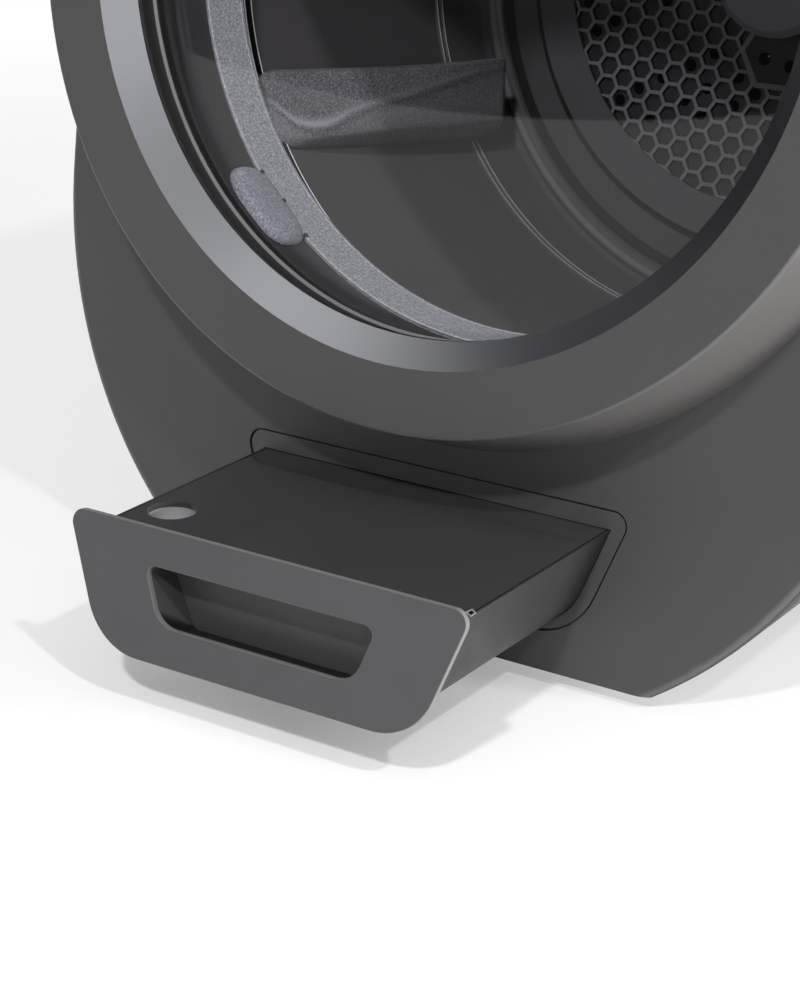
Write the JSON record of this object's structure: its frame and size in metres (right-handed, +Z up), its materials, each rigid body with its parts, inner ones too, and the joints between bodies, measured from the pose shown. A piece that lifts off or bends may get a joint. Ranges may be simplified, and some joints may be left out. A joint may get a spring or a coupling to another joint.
{
  "type": "compact tumble dryer",
  "caption": "Compact front-loading tumble dryer with a round leaning glass door, a drum with lifters and a honeycomb air grille, and a water-tank drawer under the door.",
  "frame": {"origin": "on the floor, in the middle of the underside of the front foot", "axes": "+X to the right as seen from the front, +Y into the machine, +Z up"},
  "size_m": [0.426, 0.5654, 0.5173],
  "materials": {
    "charcoal_plastic": "fine matte",
    "satin_bevel": "satin",
    "black_rubber": "matte",
    "bright_trim": "polished",
    "tinted_glass": "polished",
    "black_plastic": "satin",
    "speckled_plastic": "matte, finely speckled",
    "drum_metal": "satin",
    "grille_plastic": "matte",
    "steel": "machined",
    "cast_alloy": "as cast",
    "painted_steel": "satin",
    "tank_plastic": "satin",
    "board": "satin",
    "button_plastic": "satin"
  },
  "bodies": {
    "cabinet": {"front_panel": "charcoal_plastic", "cabinet_shell": "charcoal_plastic", "rear_panel": "charcoal_plastic", "rear_screws": "steel", "base_tray": "charcoal_plastic", "power_inlet": "black_plastic", "foot_strips": "black_rubber", "hinge_bracket": "steel", "hinge_pin": "steel", "lock_housing": "black_plastic", "mouth_duct": "black_plastic", "mouth_collar": "speckled_plastic", "drum_lamp": "speckled_plastic", "rear_bulkhead": "painted_steel", "bearing_housing": "cast_alloy", "shaft_bearings": "steel", "motor_housing": "painted_steel", "motor_bracket": "painted_steel", "drive_belt": "black_rubber", "fan_housing": "black_plastic", "fan_motor": "painted_steel", "heater": "cast_alloy", "condenser": "cast_alloy", "tank_bay": "black_plastic", "drain_pump": "black_plastic", "drain_pipe": "black_rubber", "control_console": "charcoal_plastic", "display_window": "tinted_glass", "control_board": "board"},
    "door": {"door_ring": "charcoal_plastic", "door_bevel": "satin_bevel", "glass_gasket": "black_rubber", "silver_bead": "bright_trim", "door_glass": "tinted_glass", "glass_clamp": "black_plastic", "door_back_cover": "charcoal_plastic", "door_strike": "steel", "hinge_leaf": "steel"},
    "lock": {"lock_bolt": "steel"},
    "drum": {"drum_shell": "drum_metal", "lifter_1": "speckled_plastic", "lifter_2": "speckled_plastic", "lifter_3": "speckled_plastic", "drum_rear_wall": "drum_metal", "honeycomb_grille": "grille_plastic", "hub_cap": "speckled_plastic", "hub_cover": "black_plastic", "hub_screws": "steel", "drum_spider": "cast_alloy", "drum_shaft": "steel", "drum_pulley": "cast_alloy"},
    "motor_rotor": {"motor_shaft": "steel", "motor_pulley": "cast_alloy"},
    "fan": {"fan_wheel": "black_plastic"},
    "tank": {"tank_front_plate": "charcoal_plastic", "grip_cup": "tank_plastic", "tank_body": "tank_plastic", "tank_lid": "tank_plastic"},
    "power_button": {"power_button": "button_plastic"},
    "start_button": {"start_button": "button_plastic"}
  },
  "joints": [
    {"name": "door_hinge", "type": "hinge", "parent": "cabinet", "child": "door", "pos_m": [-0.208, -0.0244, 0.30168], "axis": [0, -0.1478, -0.989], "range_deg": [0, 100]},
    {"name": "lock_slide", "type": "slide", "parent": "cabinet", "child": "lock", "axis": [1, 0, 0], "range_m": [0, 0.0056], "stiffness_N_per_m": 60},
    {"name": "drum_spin", "type": "hinge", "parent": "cabinet", "child": "drum", "pos_m": [0, 0.16253, 0.27374], "axis": [0, -0.989, 0.1478], "continuous": true},
    {"name": "motor_spin", "type": "hinge", "parent": "cabinet", "child": "motor_rotor", "pos_m": [0.09509, 0.30561, 0.04718], "axis": [0, -0.989, 0.1478], "continuous": true},
    {"name": "fan_spin", "type": "hinge", "parent": "cabinet", "child": "fan", "pos_m": [-0.088, 0.32942, 0.34182], "axis": [0, -0.989, 0.1478], "continuous": true},
    {"name": "tank_slide", "type": "slide", "parent": "cabinet", "child": "tank", "axis": [0, -1, 0], "range_m": [-0.1211, 0.08]},
    {"name": "power_press", "type": "slide", "parent": "cabinet", "child": "power_button", "axis": [0, 0, -1], "range_m": [0, 0.0012], "stiffness_N_per_m": 300},
    {"name": "start_press", "type": "slide", "parent": "cabinet", "child": "start_button", "axis": [0, 0, -1], "range_m": [0, 0.0012], "stiffness_N_per_m": 300}
  ],
  "couplings": [
    {"joint": "motor_spin", "follows": "drum_spin", "ratio": 8}
  ]
}
